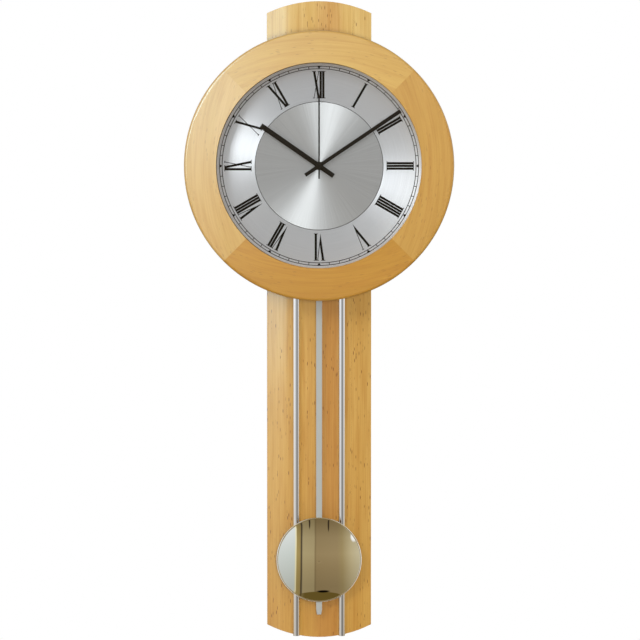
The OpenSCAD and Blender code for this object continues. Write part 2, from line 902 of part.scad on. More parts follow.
module movement_cover() {
    snap_t = 1;
    snap_v = 12;
    snap_half = 3;
    rim = 0.5;
    color([0.19, 0.19, 0.2])
    at_head() difference() {
        union() {
            difference() {
                block([-case_half, -case_down], [case_half, case_up], case_back, case_split);
                block([-inner_half, case_wall - case_down], [inner_half, case_up - case_wall],
                    back_wall, case_split + past);
            }
            for (p = plate_post_at)
                translate(p) disc(plate_post_r, case_back + past / 2, plate_plane);
            for (p = pcb_post_at)
                translate(p) disc(2, case_back + past / 2, board_plane);
            for (side = [-1, 1])
                translate([side * (case_half + snap_t / 2), snap_v, 0])
                    block([-snap_t / 2, -snap_half], [snap_t / 2, snap_half],
                        case_split - 3, case_split + 2.5);
            for (rotor = [minute_rotor_at, second_rotor_at], side = [-1, 1])
                translate([rotor[0] + side * (stator_half - 1.5), rotor[1] + 2, 0])
                    disc(1.2, case_back + past / 2, stator_back);
            block([-inner_half - past / 2, partition_v], [inner_half + past / 2, partition_v + partition_t],
                case_back + past / 2, case_split);
            disc(2, case_back + past / 2, back_wall + 3.2);
            translate(second_idler_at) disc(1.6, case_back + past / 2, second_idler_plane - 0.8);
            for (rotor = [minute_rotor_at, second_rotor_at])
                translate(rotor) disc(1.2, case_back + past / 2, magnet_back - 0.3);
            translate([0, -pivot_drop, 0]) disc(2.6, case_back + past / 2, pin_front + 0.6);
        }
        disc(tube_bore, back_wall + 1.2, back_wall + 3.2 + past);
        translate(second_idler_at) disc(fine_bore, second_idler_plane - 2.2, second_idler_plane);
        for (rotor = [minute_rotor_at, second_rotor_at])
            translate(rotor) disc(fine_bore, back_wall - 0.6, magnet_back);
        translate([0, -pivot_drop, 0]) disc(pin_r + seat, case_back - past, pin_front + 0.1);
        for (x = [-button_x, 0, button_x])
            translate([x, button_v, 0]) disc(button_r + running, case_back - past, back_wall + past);
        block([rim - inner_half, partition_v + partition_t + rim],
            [inner_half - rim, case_up - case_wall - rim], case_back - past, back_wall + past);
    }
}

module case_screws() {
    color([0.8, 0.75, 0.6])
    at_head() difference() {
        at_ears() case_screw();
        at_ears() cross(1.5, case_front - ear_t - case_screw_head_t, 0.9);
    }
}

module shaft_bush() {
    color([0.75, 0.62, 0.3]) at_head() tube(bush_r, bush_bore, front_wall, bush_front);
}

module gear_plate() {
    plate_gap = 0.3;
    color([0.72, 0.58, 0.28])
    at_head() difference() {
        union() {
            block([plate_gap - inner_half, -plate_low], [inner_half - plate_gap, plate_high],
                plate_plane, plate_plane + plate_t);
            translate([0, motion_centre, 0]) disc(motion_post_r, plate_plane, hour_plane + 0.6);
        }
        disc(tube_bore, plate_plane - past, plate_plane + plate_t + past);
        for (at = [minute_idler_at, second_idler_at, minute_rotor_at, second_rotor_at])
            translate(at) disc(fine_bore, plate_plane - past, plate_plane + plate_t + past);
    }
}

// The angle from the hand shaft to an idler, and from an idler to its rotor
second_idler_angle = 180 - idler_angle;
second_rotor_angle = 180 - rotor_angle;

module seconds_wheel() {
    arbor_back = back_wall + 1.6;
    color([0.9, 0.9, 0.85])
    at_head() union() {
        translate([0, 0, second_plane]) gear(arbor_wheel_teeth, train_module, wheel_t, second_idler_angle);
        disc(arbor_r, arbor_back, second_hand_d + hand_t - second_boss_cap - seat);
    }
}

module idler(at, pinion_angle, wheel_angle, pinion_d, pinion_t, wheel_d, arbor_d0, arbor_d1) {
    at_head() translate(at) union() {
        translate([0, 0, pinion_d]) gear(idler_pinion_teeth, train_module, pinion_t, pinion_angle);
        translate([0, 0, wheel_d]) gear(idler_teeth, train_module, thin_wheel_t, wheel_angle);
        disc(fine_arbor_r, arbor_d0, arbor_d1);
    }
}

module rotor(at, pinion_angle, pinion_d, arbor_d1) {
    at_head() translate(at) union() {
        translate([0, 0, pinion_d]) gear(rotor_teeth, train_module, 1.2, pinion_angle);
        disc(fine_arbor_r, back_wall - 0.4, arbor_d1);
        disc(magnet_r, magnet_back, magnet_back + magnet_t);
    }
}

module seconds_idler() {
    color([0.92, 0.88, 0.75])
    idler(second_idler_at, gap_towards(second_idler_angle + 180, idler_pinion_teeth), second_rotor_angle,
        second_plane - 0.4, 1.5, second_idler_plane, second_idler_plane - 2, plate_plane + plate_t);
}

module seconds_rotor() {
    color([0.3, 0.3, 0.32])
    rotor(second_rotor_at, gap_towards(second_rotor_angle + 180, rotor_teeth),
        second_idler_plane - 0.2, plate_plane + plate_t);
}

module minute_wheel() {
    color([0.9, 0.9, 0.85])
    at_head() difference() {
        union() {
            translate([0, 0, minute_plane]) gear(arbor_wheel_teeth, train_module, wheel_t, idler_angle);
            translate([0, 0, cannon_plane]) gear(cannon_teeth, cannon_module, 1.5, 90);
            disc(tube_r, minute_plane, minute_hand_d + hand_t);
        }
        disc(tube_bore, minute_plane - past, minute_hand_d + hand_t + past);
    }
}

module minute_idler() {
    color([0.92, 0.88, 0.75])
    idler(minute_idler_at, gap_towards(idler_angle + 180, idler_pinion_teeth), rotor_angle,
        minute_plane - 0.4, 1.5, minute_idler_plane, plate_plane, front_wall + 0.6);
}

module minute_rotor() {
    color([0.3, 0.3, 0.32])
    rotor(minute_rotor_at, gap_towards(rotor_angle + 180, rotor_teeth), minute_idler_plane - 0.2,
        minute_idler_plane + 1.4);
}

module motion_wheel() {
    pinion_t = 2.4;
    collar_r = 1.6;
    color([0.92, 0.88, 0.75])
    at_head() translate([0, motion_centre, 0]) difference() {
        union() {
            translate([0, 0, motion_plane]) {
                gear(motion_teeth, cannon_module, wheel_t, gap_towards(-90, motion_teeth));
                gear(motion_pinion_teeth, hour_module, pinion_t, -90);
            }
            disc(collar_r, plate_plane + plate_t + 0.3, motion_plane + 0.1);
        }
        disc(motion_post_r + 0.07, plate_plane, front_wall);
    }
}

module hour_wheel() {
    color([0.9, 0.9, 0.85])
    at_head() difference() {
        union() {
            translate([0, 0, hour_plane]) gear(hour_teeth, hour_module, 1, gap_towards(90, hour_teeth));
            disc(pipe_r, hour_plane, hour_hand_d + hand_t);
        }
        disc(pipe_bore, hour_plane - past, hour_hand_d + hand_t + past);
    }
}

// A stator sheet: its head has the rotor's bore, and a window over the coil leaves a core
module stator_plate() {
    head_top = 6;
    window_top = -5.2;
    window_half = coil_half + 0.3;
    notch_half = 0.8;
    notch_low = -3;
    cut_back = stator_back - past;
    cut_front = stator_back + stator_t + past;
    difference() {
        block([-stator_half, -core_drop - core_half], [stator_half, head_top],
            stator_back, stator_back + stator_t);
        block([-window_half, core_half - core_drop], [window_half, window_top], cut_back, cut_front);
        for (side = [-1, 1])
            translate([side * (stator_half + 0.2), -core_drop, 0])
                block([-notch_half, notch_low], [notch_half, -core_half], cut_back, cut_front);
        disc(magnet_r + 0.6, cut_back, cut_front);
    }
}

module motor_stators() {
    color([0.55, 0.55, 0.57])
    for (at = [minute_rotor_at, second_rotor_at]) at_head() translate(at) stator_plate();
}

module motor_coils() {
    core_d = stator_back + stator_t / 2;
    core_gap = 0.15;
    color([0.72, 0.38, 0.2])
    for (at = [minute_rotor_at, second_rotor_at])
        at_head() translate([at[0], at[1] - core_drop, 0]) difference() {
            translate([0, 0, core_d]) rotate([0, 90, 0])
                cylinder(r = coil_r, h = 2 * coil_half, center = true);
            block([-stator_half, -core_half - core_gap], [stator_half, core_half + core_gap],
                stator_back - core_gap, stator_back + stator_t + core_gap);
        }
}

module circuit_board() {
    pcb_front = board_plane + pcb_t;
    color([0.12, 0.35, 0.2])
    at_head() union() {
        block([-pcb_half, pcb_low], [pcb_half, pcb_high], board_plane, pcb_front);
        block([chip_x, chip_v], [chip_x + chip_w, chip_v + chip_h], pcb_front, pcb_front + chip_t);
        translate([crystal_x, crystal_v, 0]) disc(crystal_r, pcb_front, pcb_front + crystal_h);
    }
}

module antenna_rod() {
    color([0.2, 0.2, 0.21])
    at_head() translate([0, antenna_v, antenna_d]) rotate([0, 90, 0])
        cylinder(r = antenna_r, h = antenna_len, center = true);
}

module antenna_coil() {
    color([0.72, 0.38, 0.2])
    at_head() translate([0, antenna_v, antenna_d]) rotate([0, 90, 0]) difference() {
        cylinder(r = antenna_coil_r, h = antenna_coil_len, center = true);
        cylinder(r = antenna_r + glue, h = antenna_coil_len + 2 * past, center = true);
    }
}

module battery() {
    nub_r = 2.75;
    nub_h = 1.2;
    color([0.35, 0.36, 0.38])
    at_head() translate([-battery_len / 2, battery_v, battery_d]) rotate([0, 90, 0]) {
        cylinder(r = battery_r, h = battery_len - nub_h);
        cylinder(r = nub_r, h = battery_len);
    }
}

module battery_contacts() {
    plate_x = inner_half - 0.3;
    pip_r = 2.5;
    color([0.8, 0.8, 0.78])
    for (side = [-1, 1])
        at_head() translate([side * plate_x, battery_v, battery_d]) rotate([0, -90 * side, 0]) {
            translate([-contact_half, -contact_half, 0])
                cube([2 * contact_half, 2 * contact_half, contact_t]);
            cylinder(r1 = pip_r + 1, r2 = pip_r, h = plate_x - battery_len / 2 - glue);
        }
}

module push_button(x) {
    color([0.85, 0.85, 0.83])
    at_head() translate([x, button_v, 0]) {
        disc(button_r, case_back - button_out, board_plane - button_travel - 0.2);
        disc(button_flange_r, button_flange_back, button_flange_back + button_flange_t);
    }
}

module set_button() {
    push_button(-button_x);
}

module reset_button() {
    push_button(0);
}

module signal_button() {
    push_button(button_x);
}

// A flat hand that widens a little to its tip, with a round boss at the shaft. The bore ends
// behind the boss's front by the thickness of a cap, where there is one.
module hand(angle, tip, tail, tip_w, root_w, boss_r, bore, d, cap = -past) {
    color([0.1, 0.09, 0.08])
    at_head() rotate([0, 0, -angle]) difference() {
        union() {
            translate([0, 0, d]) linear_extrude(hand_t)
                polygon([[-root_w / 2, -tail], [root_w / 2, -tail], [tip_w / 2, tip], [-tip_w / 2, tip]]);
            disc(boss_r, d - hand_boss + 0.1, d + hand_t);
        }
        disc(bore, d - hand_boss, d + hand_t - cap);
    }
}

module hour_hand() {
    hand(hour_angle, hour_len, hour_tail, hour_w, hour_w - 0.5, hour_boss_r, pipe_r + seat, hour_hand_d);
}

module minute_hand() {
    hand(minute_angle, minute_len, minute_tail, minute_w, minute_w - 0.2, minute_boss_r, tube_r + seat,
        minute_hand_d);
}

module second_hand() {
    hand(0, second_len, second_tail, second_w, second_w, second_boss_r, arbor_r + seat, second_hand_d,
        second_boss_cap);
}

module pendulum_hanger() {
    color([0.15, 0.15, 0.16])
    at_head() difference() {
        union() {
            translate([0, 0, lever_back]) linear_extrude(lever_t) {
                translate([0, -pivot_drop]) circle(3.6);
                translate([0, -magnet_drop]) circle(lever_magnet_r + 1);
                translate([-2.6, -hook_drop]) square([5.2, hook_drop - pivot_drop]);
                translate([0, -hook_drop]) circle(3.2);
            }
            translate([0, -pivot_drop, 0]) disc(lever_boss_r, lever_back, lever_boss_front);
            translate([0, -hook_drop, 0]) disc(hook_r, hook_back, lever_back + past);
            block([-hook_r, -hook_drop], [hook_r, hook_rise - hook_drop], hook_back, hook_back + hook_lip_t);
        }
        translate([0, -pivot_drop, 0]) disc(pin_r + running, lever_back - past, case_back);
    }
}

module hanger_magnet() {
    color([0.7, 0.7, 0.72])
    at_head() translate([0, -magnet_drop, 0]) disc(lever_magnet_r, lever_front, lever_boss_front);
}

module drive_coil() {
    color([0.72, 0.38, 0.2])
    at_head() translate([0, -magnet_drop, 0]) tube(drive_coil_r, 1.5, back_wall, back_wall + drive_coil_t);
}

module pivot_pin() {
    pin_head_front = lever_back - 0.3;
    color([0.82, 0.82, 0.84])
    at_head() translate([0, -pivot_drop, 0]) {
        disc(pin_r, pin_head_front - pin_head_t / 2, pin_front);
        disc(pin_head_r, pin_head_front - pin_head_t, pin_head_front);
    }
}

module pendulum_strip() {
    taper = 0.8;
    taper_h = 5;
    hole_v = hook_drop + strip_hole_r - hook_r - 0.05;
    color([0.86, 0.87, 0.88])
    at_head() translate([0, 0, strip_back]) linear_extrude(strip_t) difference() {
        polygon([[-strip_w / 2, strip_top - hook_drop], [strip_w / 2, strip_top - hook_drop],
            [strip_w / 2, taper_h - strip_end], [strip_w / 2 - taper, -strip_end],
            [taper - strip_w / 2, -strip_end], [-strip_w / 2, taper_h - strip_end]]);
        translate([0, -hole_v]) circle(strip_hole_r);
    }
}

module bob_shell() {
    color([0.8, 0.78, 0.68])
    at_head() translate([0, -bob_drop, 0]) rotate_extrude($fn = 180) {
        intersection() {
            difference() {
                translate([0, bob_dome_d]) circle(bob_dome_r, $fn = 360);
                translate([0, bob_dome_d]) circle(bob_dome_r - bob_t, $fn = 360);
            }
            translate([0, bob_bead_d]) square([bob_d / 2 - bob_bead_r, 2 * bob_dome]);
        }
        translate([bob_d / 2 - bob_bead_r, bob_bead_d]) circle(bob_bead_r);
    }
}

module bob_back() {
    color([0.7, 0.71, 0.72])
    at_head() translate([0, -bob_drop, 0])
        disc(bob_d / 2 - 2 * bob_bead_r - 0.2, bob_back_d, bob_back_d + bob_back_t);
}

// A sprung clip on the bob's back that grips the strip
module bob_clip() {
    foot = 4;
    inner = strip_w / 2 + 0.3;
    bridge_d = strip_back - 0.1;
    color([0.75, 0.76, 0.78])
    at_head() translate([0, -bob_drop - clip_half, 0]) rotate([-90, 0, 0]) linear_extrude(2 * clip_half)
        polygon([for (p = [
            [-inner - foot, bob_back_d], [-inner - foot, bob_back_d - clip_t],
            [-inner - clip_t, bob_back_d - clip_t], [-inner - clip_t, bridge_d - clip_t],
            [inner + clip_t, bridge_d - clip_t], [inner + clip_t, bob_back_d - clip_t],
            [inner + foot, bob_back_d - clip_t], [inner + foot, bob_back_d],
            [inner, bob_back_d], [inner, bridge_d], [-inner, bridge_d], [-inner, bob_back_d]])
            [p[0], -p[1]]]);
}

module side_rods() {
    color([0.88, 0.89, 0.9])
    difference() {
        for (x = [-rod_x, rod_x])
            translate([x, -rod_depth, rod_bottom]) cylinder(r = rod_r, h = rod_top - rod_bottom);
        at_rod_screws() rod_screw(seat);
    }
}

module rod_spacers() {
    color([0.8, 0.81, 0.82])
    difference() {
        at_rod_screws() tube(rod_spacer_r, rod_screw_r + seat, spacer_seat, rod_depth);
        for (x = [-rod_x, rod_x])
            translate([x, -rod_depth, rod_bottom - past])
                cylinder(r = rod_r + seat, h = rod_top - rod_bottom + 2 * past);
    }
}

module rod_screws() {
    color([0.8, 0.75, 0.6])
    difference() {
        at_rod_screws() rod_screw();
        at_rod_screws() cross(1.9, rod_head_seat - rod_screw_head_t, 1);
    }
}

back_panel();
upper_batten();
lower_batten();
hanger_plate();
hanger_screws();
wall_pads();
upper_saddle();
lower_saddle();
saddle_screws();
back_board();
head_drum();
head_screws();
ring_segment_top();
ring_segment_right();
ring_segment_bottom();
ring_segment_left();
glass();
glass_spacer();
dial_board();
dial_plate();
dial_centre_disc();
numerals();
minute_track();
movement_case();
movement_cover();
case_screws();
shaft_bush();
gear_plate();
seconds_wheel();
seconds_idler();
seconds_rotor();
minute_wheel();
minute_idler();
minute_rotor();
motion_wheel();
hour_wheel();
motor_stators();
motor_coils();
circuit_board();
antenna_rod();
antenna_coil();
battery();
battery_contacts();
set_button();
reset_button();
signal_button();
hour_hand();
minute_hand();
second_hand();
pendulum_hanger();
hanger_magnet();
drive_coil();
pivot_pin();
pendulum_strip();
bob_shell();
bob_back();
bob_clip();
side_rods();
rod_spacers();
rod_screws();
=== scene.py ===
import bpy
import math
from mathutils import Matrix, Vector


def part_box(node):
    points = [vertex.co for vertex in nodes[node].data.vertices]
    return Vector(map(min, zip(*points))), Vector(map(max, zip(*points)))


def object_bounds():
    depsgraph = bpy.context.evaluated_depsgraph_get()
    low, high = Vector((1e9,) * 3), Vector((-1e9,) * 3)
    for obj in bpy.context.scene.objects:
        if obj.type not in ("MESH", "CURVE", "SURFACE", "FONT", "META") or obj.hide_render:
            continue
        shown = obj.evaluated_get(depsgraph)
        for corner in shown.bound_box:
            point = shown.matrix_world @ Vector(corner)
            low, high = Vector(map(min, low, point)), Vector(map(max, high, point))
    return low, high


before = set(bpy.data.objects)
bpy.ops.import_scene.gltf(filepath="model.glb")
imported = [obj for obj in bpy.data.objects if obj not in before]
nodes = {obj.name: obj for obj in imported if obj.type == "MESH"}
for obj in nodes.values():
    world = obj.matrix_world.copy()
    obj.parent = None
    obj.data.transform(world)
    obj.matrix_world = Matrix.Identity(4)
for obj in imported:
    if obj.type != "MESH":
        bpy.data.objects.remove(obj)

cad_box = [list(corner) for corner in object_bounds()]

# Camera
# A long lens three metres off, square to the wall and just above the clock's middle.
# It tips down a little, so that the head's lower edge and the rods' ends show as they do in life.
scene = bpy.context.scene
scene.view_settings.view_transform = "Standard"
camera_data = bpy.data.cameras.new("camera")
camera_data.sensor_width = 36
camera_data.lens = 177.2
camera = bpy.data.objects.new("camera", camera_data)
camera.location = (0.00085, -3.0, -0.1131)
camera_tip = math.radians(2.25)
camera.rotation_euler = (math.radians(90) - camera_tip, 0, 0)
scene.collection.objects.link(camera)
scene.camera = camera


# Studio
# A white sweep behind and beside the clock, soft lights on the left and above, and a tan room in front.
# The camera sees only the sweep. Chrome shows the room itself, and brushed and lacquered faces blur it.
def linear(colour):
    """An sRGB hex colour, such as "c8a060", as linear RGBA."""
    channels = [int(colour[i:i + 2], 16) / 255 for i in (0, 2, 4)]
    return [c / 12.92 if c <= 0.04045 else ((c + 0.055) / 1.055) ** 2.4 for c in channels] + [1]


def put(tree, node, key, value):
    """Links a socket to a node's input, or sets the input to a value."""
    if isinstance(value, bpy.types.NodeSocket):
        tree.links.new(value, node.inputs[key])
    else:
        node.inputs[key].default_value = value


def add(tree, kind, settings=None, **inputs):
    """Adds a shader node. settings are its properties, and inputs go by name or by _number."""
    node = tree.nodes.new("ShaderNode" + kind)
    for name, value in (settings or {}).items():
        setattr(node, name, value)
    for name, value in inputs.items():
        put(tree, node, int(name[1:]) if name[0] == "_" else name.replace("_", " "), value)
    return node


def calculate(tree, operation, *values):
    """The result of a Math node on one, two or three values."""
    node = add(tree, "Math", {"operation": operation})
    for i, value in enumerate(values):
        put(tree, node, i, value)
    return node.outputs[0]


def length_of(tree, a, b):
    """The length of a straight line that goes a along and b up."""
    squared = calculate(tree, "MULTIPLY", b, b)
    return calculate(tree, "SQRT", calculate(tree, "MULTIPLY_ADD", a, a, squared))


def fade(tree, value, start, end):
    """A smooth share that runs from 0 where the value is start to 1 where it is end."""
    smooth = {"interpolation_type": "SMOOTHSTEP"}
    return add(tree, "MapRange", smooth, Value=value, From_Min=start, From_Max=end).outputs[0]


def ramp(tree, value, stops):
    """A colour ramp through (position, sRGB hex) stops, given in rising order."""
    node = add(tree, "ValToRGB", Fac=value)
    elements = node.color_ramp.elements
    while len(elements) < len(stops):
        elements.new(1)
    for element, (position, colour) in zip(elements, stops):
        element.position = position
        element.color = linear(colour)
    return node.outputs[0]


def blend(tree, share, a, b, kind="MIX"):
    """Colour b over colour a by a share from 0 to 1."""
    node = add(tree, "Mix", {"data_type": "RGBA", "blend_type": kind})
    for key, value in ((0, share), (6, a), (7, b)):
        put(tree, node, key, value)
    return node.outputs[2]


studio = bpy.data.worlds.new("studio")
scene.world = studio
studio.use_nodes = True
air = studio.node_tree
air.nodes.clear()
sky_direction = add(air, "TexCoord").outputs["Generated"]
sideways, inward, upward = add(air, "SeparateXYZ", Vector=sky_direction).outputs

# Each direction has its place on a mirror ball that faces the room, from -1 to 1 across and up
depth_part = calculate(air, "MULTIPLY_ADD", inward, -2, 2)
spread = calculate(air, "SQRT", calculate(air, "MAXIMUM", depth_part, 0.01))
ball_x = calculate(air, "DIVIDE", sideways, spread)
ball_z = calculate(air, "DIVIDE", upward, spread)
ball_r = calculate(air, "SQRT", calculate(air, "MULTIPLY_ADD", inward, 0.5, 0.5))
# The same places from 0 to 1, for colour ramps
ball_across = calculate(air, "MULTIPLY_ADD", ball_x, 0.5, 0.5)
ball_up = calculate(air, "MULTIPLY_ADD", ball_z, 0.5, 0.5)


def on_ball(places):
    """Ramp stops from (place on the ball, colour) pairs."""
    return [((place + 1) / 2, colour) for place, colour in places]


def spot(x, z, half_w, half_h, soft):
    """The share of an oval patch of the room at a place on the ball, with an edge as soft as soft says."""
    along = calculate(air, "DIVIDE", calculate(air, "SUBTRACT", ball_x, x), half_w)
    up = calculate(air, "DIVIDE", calculate(air, "SUBTRACT", ball_z, z), half_h)
    return fade(air, length_of(air, along, up), 1 + soft, 1 - soft)


# The room from left to right: the soft light with its lit edge, a post, a gap, and tan and brown cloth
room = ramp(air, ball_across, on_ball([
    (-0.50, "ffffff"), (-0.44, "f0f4f6"), (-0.271, "e8eeee"), (-0.266, "fff8d8"), (-0.257, "fff4c8"),
    (-0.250, "ae9a60"), (-0.208, "a48f5c"), (-0.203, "52483a"), (-0.191, "4a4236"), (-0.186, "b2a27a"),
    (-0.055, "ae9e76"), (-0.044, "847250"), (-0.030, "9c8862"), (0.20, "a08c66"), (0.26, "a69469"),
    (0.36, "c2b48e"), (0.45, "ccc2a2"), (0.50, "ffffff")]))
# The soft light is dimmer towards its foot
light_edge = -0.26
edge_half = 0.005
in_light = fade(air, ball_x, light_edge + edge_half, light_edge - edge_half)
light_fall = ramp(air, ball_up, on_ball([(-0.36, "c8c8c0"), (0.0, "e2e5e0"), (0.36, "ffffff")]))
room = blend(air, in_light, room, light_fall, "MULTIPLY")
# The cloth is darker near the ceiling and the floor
in_cloth = fade(air, ball_x, light_edge - edge_half, light_edge + edge_half)
cloth_fall = ramp(air, ball_up, on_ball([
    (-0.34, "dcdad6"), (-0.14, "eeece8"), (0.02, "ffffff"), (0.20, "f4f4f4"), (0.38, "cbc8c0")]))
room = blend(air, in_cloth, room, cloth_fall, "MULTIPLY")
# Above the cloth the ceiling shows, with a window in it, and two lamp stands hang from it
past_cloth = fade(air, ball_r, 0.415, 0.425)
overhead = fade(air, ball_z, 0.12, 0.22)
room = blend(air, calculate(air, "MULTIPLY", past_cloth, overhead), room, linear("b8ae8c"))
window = spot(0.393, 0.255, half_w=0.044, half_h=0.11, soft=0.15)
room = blend(air, window, room, linear("ffffff"))
for stand_x, stand_z in ((-0.110, 0.375), (0.106, 0.345)):
    stand = spot(stand_x, stand_z, half_w=0.009, half_h=0.075, soft=0.3)
    room = blend(air, stand, room, linear("3a3022"))
# The floor curves up to the middle, where a dark stool stands on it
floor_rise = calculate(air, "MULTIPLY_ADD", calculate(air, "MULTIPLY", ball_x, ball_x), 0.6, ball_z)
below_cloth = fade(air, floor_rise, -0.402, -0.412)
right_of_light = fade(air, ball_x, -0.25, -0.15)
room = blend(air, calculate(air, "MULTIPLY", below_cloth, right_of_light), room, linear("655326"))
stool = spot(0.045, -0.404, half_w=0.066, half_h=0.013, soft=0.35)
room = blend(air, stool, room, linear("0c0804"))
# Behind the clock there is only the sweep
behind = fade(air, inward, -0.1, 0.0)
room = blend(air, behind, room, linear("ffffff"))
# What blurred reflections see of the same room
haze = ramp(air, ball_across, on_ball([
    (-0.95, "ffffff"), (-0.30, "f6f8fa"), (-0.20, "b4b5b6"), (0.10, "a4a4a4"), (0.32, "8a8884"),
    (0.44, "8e8c88"), (0.56, "f6f6f4"), (0.95, "ffffff")]))
haze_fall = ramp(air, ball_up, on_ball([(-0.32, "765e3c"), (-0.12, "baa78a"), (-0.02, "ffffff")]))
haze = blend(air, 1.0, haze, haze_fall, "MULTIPLY")
path = add(air, "LightPath")
in_gloss = path.outputs["Is Glossy Ray"]
seen = blend(air, path.outputs["Is Singular Ray"], haze, room)
lit = blend(air, in_gloss, linear("ffffff"), seen)
looks_through = calculate(air, "MAXIMUM", path.outputs["Is Camera Ray"], path.outputs["Is Transmission Ray"])
lit = blend(air, looks_through, lit, linear("ffffff"))
# The sweep lights the clock more softly than it shows
daylight = 0.32
full = calculate(air, "MAXIMUM", in_gloss, looks_through)
level = calculate(air, "MULTIPLY_ADD", full, 1 - daylight, daylight)
add(air, "OutputWorld", Surface=add(air, "Background", Color=lit, Strength=level).outputs[0])

quarters = ["ring_segment_top", "ring_segment_right", "ring_segment_bottom", "ring_segment_left"]
dial_low, dial_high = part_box("dial_plate")
dial_centre = (dial_low + dial_high) / 2


def place_lamp(name, size, watts, distance, azimuth, elevation, colour="ffffff"):
    """A square soft light aimed at the dial, which sees it at an azimuth (left negative) and an elevation."""
    data = bpy.data.lights.new(name, "AREA")
    data.size = size
    data.energy = watts
    data.color = linear(colour)[:3]
    lamp = bpy.data.objects.new(name, data)
    scene.collection.objects.link(lamp)
    a = math.radians(azimuth)
    e = math.radians(elevation)
    towards = Vector((math.sin(a) * math.cos(e), -math.cos(a) * math.cos(e), math.sin(e)))
    lamp.location = dial_centre + towards * distance
    lamp.visible_camera = False
    lamp.rotation_euler = towards.to_track_quat("Z", "Y").to_euler()
    return lamp


def link_lamp(lamp, role, state, *names):
    """Lets a lamp light only some pieces or leave some out, or leaves their shadows out."""
    group = bpy.data.collections.new(lamp.name + "_" + role)
    for name in names:
        group.objects.link(nodes[name])
    for entry in group.collection_objects:
        entry.light_linking.link_state = state
    setattr(lamp.light_linking, role + "_collection", group)


# Three lamps give the plain light, and stay out of the gloss
key_lamp = place_lamp("key_lamp", size=0.4, watts=11, distance=2.2, azimuth=-17, elevation=15)
top_lamp = place_lamp("top_lamp", size=1.2, watts=8, distance=2.2, azimuth=10, elevation=35)
front_lamp = place_lamp("front_lamp", size=0.3, watts=34, distance=2.6, azimuth=3, elevation=-1)
for lamp in (key_lamp, top_lamp, front_lamp):
    lamp.visible_glossy = False
# Three large ones on the left show only in the gloss of the dial, the ring and the panel
dial_lamp = place_lamp("dial_lamp", 0.65, 20, distance=2.2, azimuth=-38, elevation=10, colour="f8fbfc")
link_lamp(dial_lamp, "receiver", "INCLUDE", "dial_plate", "dial_centre_disc")
link_lamp(dial_lamp, "blocker", "EXCLUDE", "second_hand", "minute_hand")
ring_lamp = place_lamp("ring_lamp", 0.9, 56, distance=2.0, azimuth=-35, elevation=18, colour="c2f0fc")
link_lamp(ring_lamp, "receiver", "INCLUDE", *quarters)
panel_lamp = place_lamp("panel_lamp", 1.1, 16, distance=2.0, azimuth=-43, elevation=7, colour="c0f0ff")
link_lamp(panel_lamp, "receiver", "INCLUDE", "back_panel")
for lamp in (dial_lamp, ring_lamp, panel_lamp):
    lamp.visible_diffuse = False

# Floor
# A pale matt studio floor, well below the clock and out of the front view.
# Its paint is dead flat, with a faint mottle from the roller.
floor_half = 4.0
floor_level = cad_box[0][2] - 1.0
corners = [(x * floor_half, y * floor_half, floor_level) for x, y in ((-1, -1), (1, -1), (1, 1), (-1, 1))]
floor_mesh = bpy.data.meshes.new("floor")
floor_mesh.from_pydata(corners, [], [(0, 1, 2, 3)])
floor = bpy.data.objects.new("floor", floor_mesh)
scene.collection.objects.link(floor)
floor.visible_glossy = False


def new_material(name, **values):
    """A material with a Principled shader, whose sockets take the values given."""
    material = bpy.data.materials.new(name)
    material.use_nodes = True
    tree = material.node_tree
    tree.nodes.clear()
    shader = add(tree, "BsdfPrincipled", **values)
    add(tree, "OutputMaterial", Surface=shader.outputs[0])
    return material, tree, shader


def object_place(tree):
    """Places on the piece in the clock's own axes, in metres."""
    return add(tree, "TexCoord").outputs["Object"]


def speckle(tree, place, sizes, detail=2.0):
    """Noise from 0 to 1 with grains of these real sizes along X, Y and Z."""
    scaled = add(tree, "Mapping", Vector=place, Scale=[1 / size for size in sizes])
    return add(tree, "TexNoise", Vector=scaled.outputs[0], Scale=1.0, Detail=detail).outputs[0]


floor_paint, paint_tree, paint_shader = new_material("matt_floor_paint", Roughness=0.9)
mottle = speckle(paint_tree, object_place(paint_tree), (0.3, 0.3, 0.3))
put(paint_tree, paint_shader, "Base Color", ramp(paint_tree, mottle, [(0.3, "f4f3f0"), (0.7, "f9f8f6")]))
floor_mesh.materials.append(floor_paint)

# Back panel
# Beech veneers glued up over a former and sanded, with a clear gloss lacquer on the front.
# Soft bands run down it, with short dark flecks, and its sawn edges show the five veneers.
MM = 0.001


def object_axes(tree):
    """The three axes' own places on the piece."""
    return add(tree, "SeparateXYZ", Vector=object_place(tree)).outputs


def upright_grain(tree):
    """Places in wood whose grain stands upright: X and Y across the grain, Z along it."""
    return object_place(tree)


def share_of_flecks(tree, place, shift):
    """Ray flecks: short dark lens shapes, about 0.6 by 3.5 mm, in loose patches."""
    cell = (1.35 * MM, 1.35 * MM, 8 * MM)
    shifts = (shift, shift, shift)
    scaled = add(tree, "Mapping", Vector=place, Scale=[1 / size for size in cell], Location=shifts)
    cells = add(tree, "TexVoronoi", Vector=scaled.outputs[0], Scale=1.0)
    lens = fade(tree, cells.outputs["Distance"], 0.30, 0.16)
    pick = fade(tree, add(tree, "SeparateColor", Color=cells.outputs["Color"]).outputs[0], 0.50, 0.75)
    patch = fade(tree, speckle(tree, place, (22 * MM, 22 * MM, 30 * MM)), 0.40, 0.58)
    return calculate(tree, "MULTIPLY", calculate(tree, "MULTIPLY", lens, pick), patch)


def bump_up(tree, shader, strength, distance, height):
    """Raises a face by a pattern."""
    relief = add(tree, "Bump", Strength=strength, Distance=distance, Height=height)
    put(tree, shader, "Normal", relief.outputs[0])


